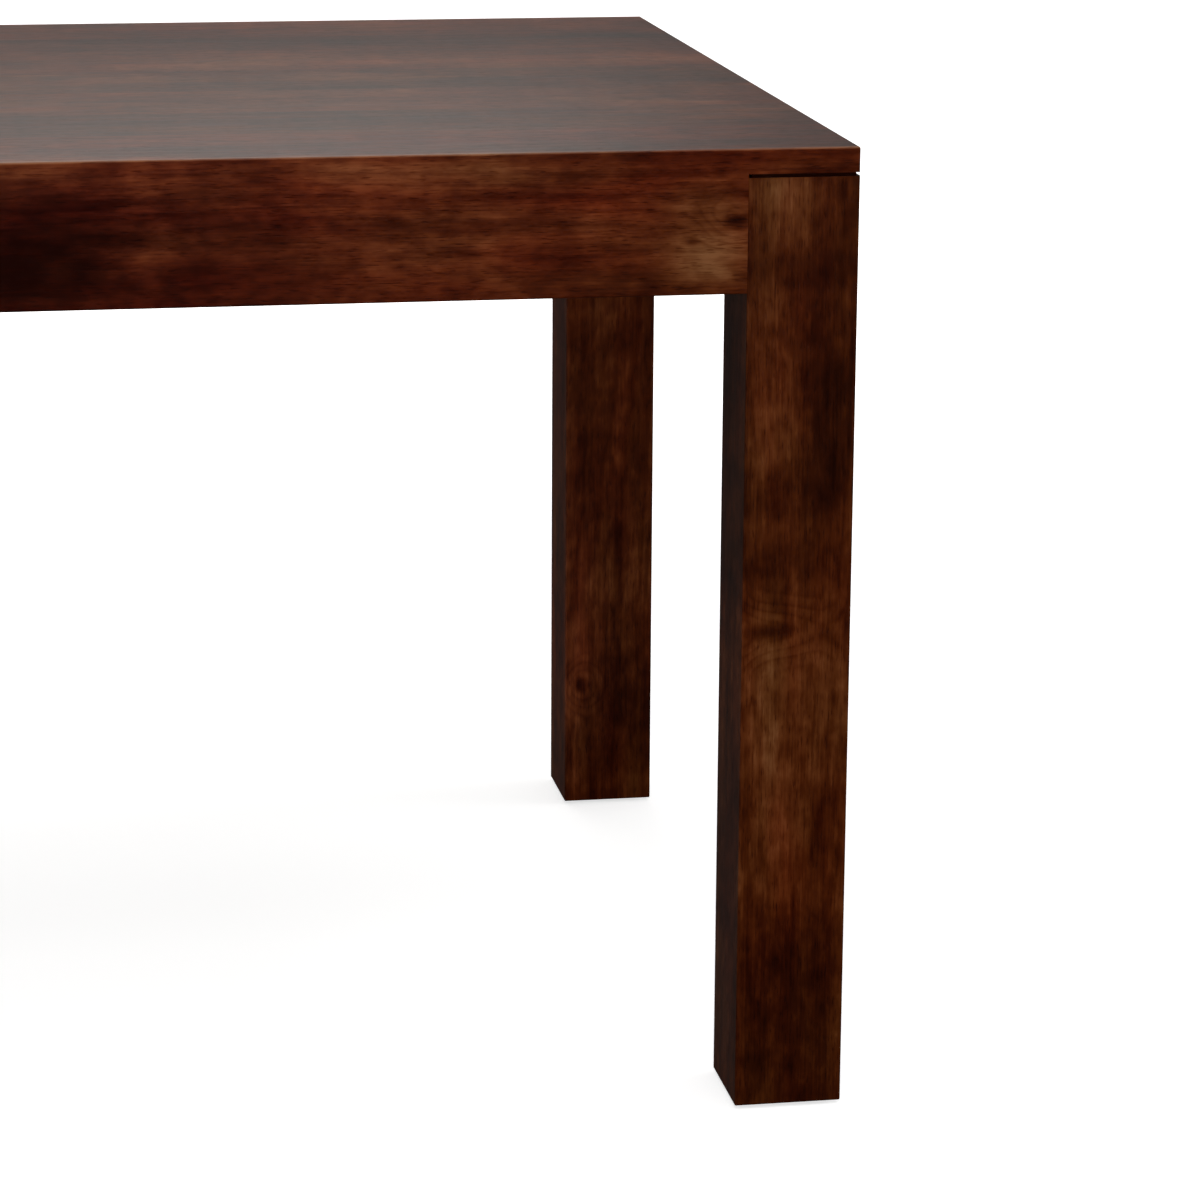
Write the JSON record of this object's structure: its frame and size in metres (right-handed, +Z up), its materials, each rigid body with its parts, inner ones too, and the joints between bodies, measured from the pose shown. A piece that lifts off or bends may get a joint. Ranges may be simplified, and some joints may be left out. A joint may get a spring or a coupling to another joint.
{
  "type": "dining table",
  "caption": "Rectangular dining table with a plank top flush with its apron and square corner legs bolted on, in dark stained wood.",
  "frame": {"origin": "on the floor under the middle of the table top", "axes": "+X along the length to the right end in the picture, +Y to the back, +Z up"},
  "size_m": [1.75, 0.9, 0.76],
  "materials": {
    "stained_wood": "dark red-brown stain under satin lacquer",
    "frame_wood": "planed and thinly stained, no lacquer",
    "zinc_steel": "zinc plated",
    "glide_plastic": "moulded, dull"
  },
  "bodies": {
    "root": {"top_board_1": "stained_wood", "top_board_2": "stained_wood", "top_board_3": "stained_wood", "top_board_4": "stained_wood", "top_board_5": "stained_wood", "top_board_6": "stained_wood", "top_board_7": "stained_wood", "leg_front_left": "stained_wood", "leg_front_right": "stained_wood", "leg_back_right": "stained_wood", "leg_back_left": "stained_wood", "apron_front": "stained_wood", "apron_right": "stained_wood", "apron_back": "stained_wood", "apron_left": "stained_wood", "cleat_front": "frame_wood", "cleat_right": "frame_wood", "cleat_back": "frame_wood", "cleat_left": "frame_wood", "cross_rail_left": "frame_wood", "cross_rail_centre": "frame_wood", "cross_rail_right": "frame_wood", "corner_block_front_left": "frame_wood", "corner_block_front_right": "frame_wood", "corner_block_back_right": "frame_wood", "corner_block_back_left": "frame_wood", "glide_front_left": "glide_plastic", "glide_front_right": "glide_plastic", "glide_back_right": "glide_plastic", "glide_back_left": "glide_plastic", "hanger_bolts": "zinc_steel", "bolt_washers": "zinc_steel", "bolt_nuts": "zinc_steel", "top_screws": "zinc_steel", "cleat_screws": "zinc_steel", "block_screws": "zinc_steel", "glide_nails": "zinc_steel"}
  },
  "joints": []
}
